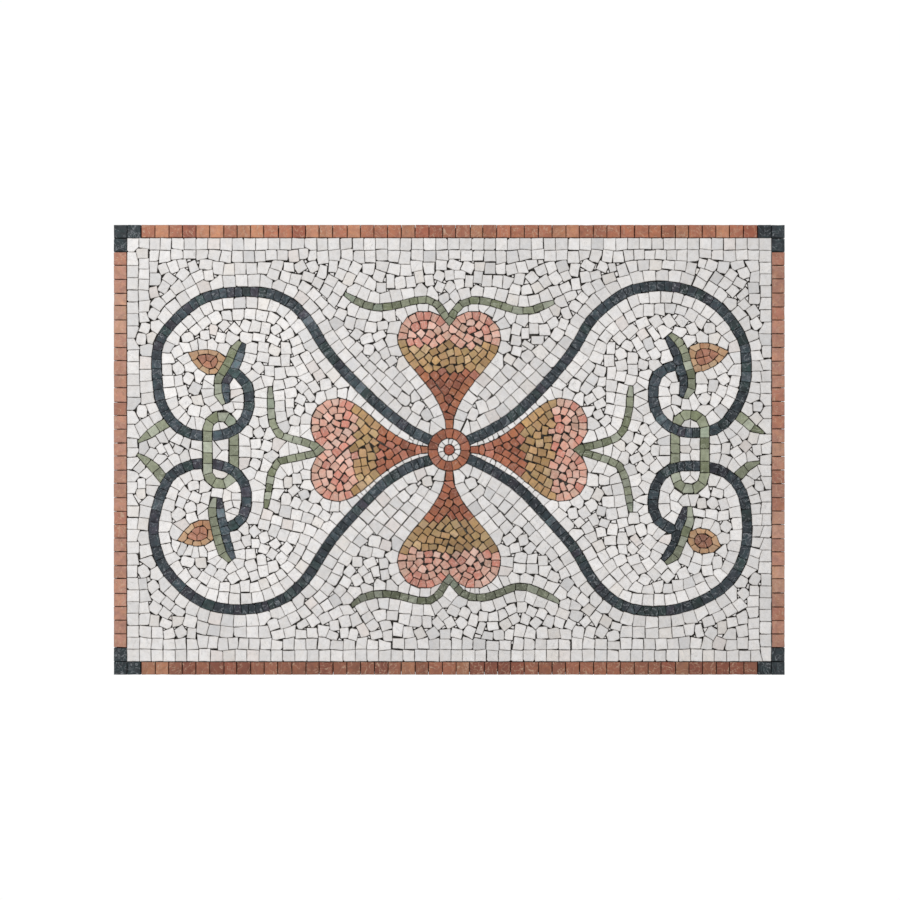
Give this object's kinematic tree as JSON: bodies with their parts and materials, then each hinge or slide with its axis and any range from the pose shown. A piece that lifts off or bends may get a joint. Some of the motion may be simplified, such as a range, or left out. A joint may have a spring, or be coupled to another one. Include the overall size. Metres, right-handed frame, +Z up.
{
  "type": "mosaic panel",
  "caption": "Rectangular wall panel of hand-cut marble tesserae on a mesh, with dark scrolls, hearts, tendrils, buds and chain links on a white field inside a rust-red border.",
  "frame": {"origin": "centre of the back face, where the panel is glued to a wall", "axes": "+X along the panel's width, +Z up its height, +Y into the wall; the mosaic faces -Y"},
  "size_m": [0.6, 0.0112, 0.4024],
  "materials": {
    "white_marble": "split white marble, honed by sawing, slightly uneven",
    "dark_marble": "blue-black serpentine marble with fine pale veins",
    "rust_marble": "rust-red marble, mottled",
    "ochre_marble": "ochre-brown marble, mottled",
    "pink_marble": "salmon-pink marble, mottled",
    "green_marble": "sage-green marble, varied",
    "bud_marble": "orange-ochre marble, mottled",
    "mesh": "woven glass-fibre mesh set in pale adhesive"
  },
  "bodies": {
    "root": {"border_bottom": "rust_marble", "border_left": "rust_marble", "border_right": "rust_marble", "border_top": "rust_marble", "bud_bottom_left": "bud_marble", "bud_bottom_right": "bud_marble", "bud_core_bottom_left": "rust_marble", "bud_core_bottom_right": "rust_marble", "bud_core_top_left": "rust_marble", "bud_core_top_right": "rust_marble", "bud_top_left": "bud_marble", "bud_top_right": "bud_marble", "corner_bottom_left": "dark_marble", "corner_bottom_right": "dark_marble", "corner_top_left": "dark_marble", "corner_top_right": "dark_marble", "field_around": "white_marble", "field_left": "white_marble", "field_right": "white_marble", "heart_bottom_ochre": "ochre_marble", "heart_bottom_pink": "pink_marble", "heart_bottom_rust": "rust_marble", "heart_left_ochre": "ochre_marble", "heart_left_pink": "pink_marble", "heart_left_rust": "rust_marble", "heart_right_ochre": "ochre_marble", "heart_right_pink": "pink_marble", "heart_right_rust": "rust_marble", "heart_top_ochre": "ochre_marble", "heart_top_pink": "pink_marble", "heart_top_rust": "rust_marble", "infill_left_link": "white_marble", "infill_right_link": "white_marble", "leaf_bottom_left": "green_marble", "leaf_bottom_right": "green_marble", "leaf_top_left": "green_marble", "leaf_top_right": "green_marble", "link_left": "green_marble", "link_middle_left": "green_marble", "link_middle_right": "green_marble", "link_right": "green_marble", "mesh_backing": "mesh", "roundel_eye": "white_marble", "roundel_ring": "rust_marble", "scroll_bottom_left": "dark_marble", "scroll_bottom_right": "dark_marble", "scroll_end_bottom_left": "dark_marble", "scroll_end_bottom_right": "dark_marble", "scroll_end_top_left": "dark_marble", "scroll_end_top_right": "dark_marble", "scroll_top_left": "dark_marble", "scroll_top_right": "dark_marble", "sepal_bottom_left": "green_marble", "sepal_bottom_right": "green_marble", "sepal_top_left": "green_marble", "sepal_top_right": "green_marble", "tendril_bottom": "green_marble", "tendril_left": "green_marble", "tendril_right": "green_marble", "tendril_top": "green_marble"}
  },
  "joints": []
}
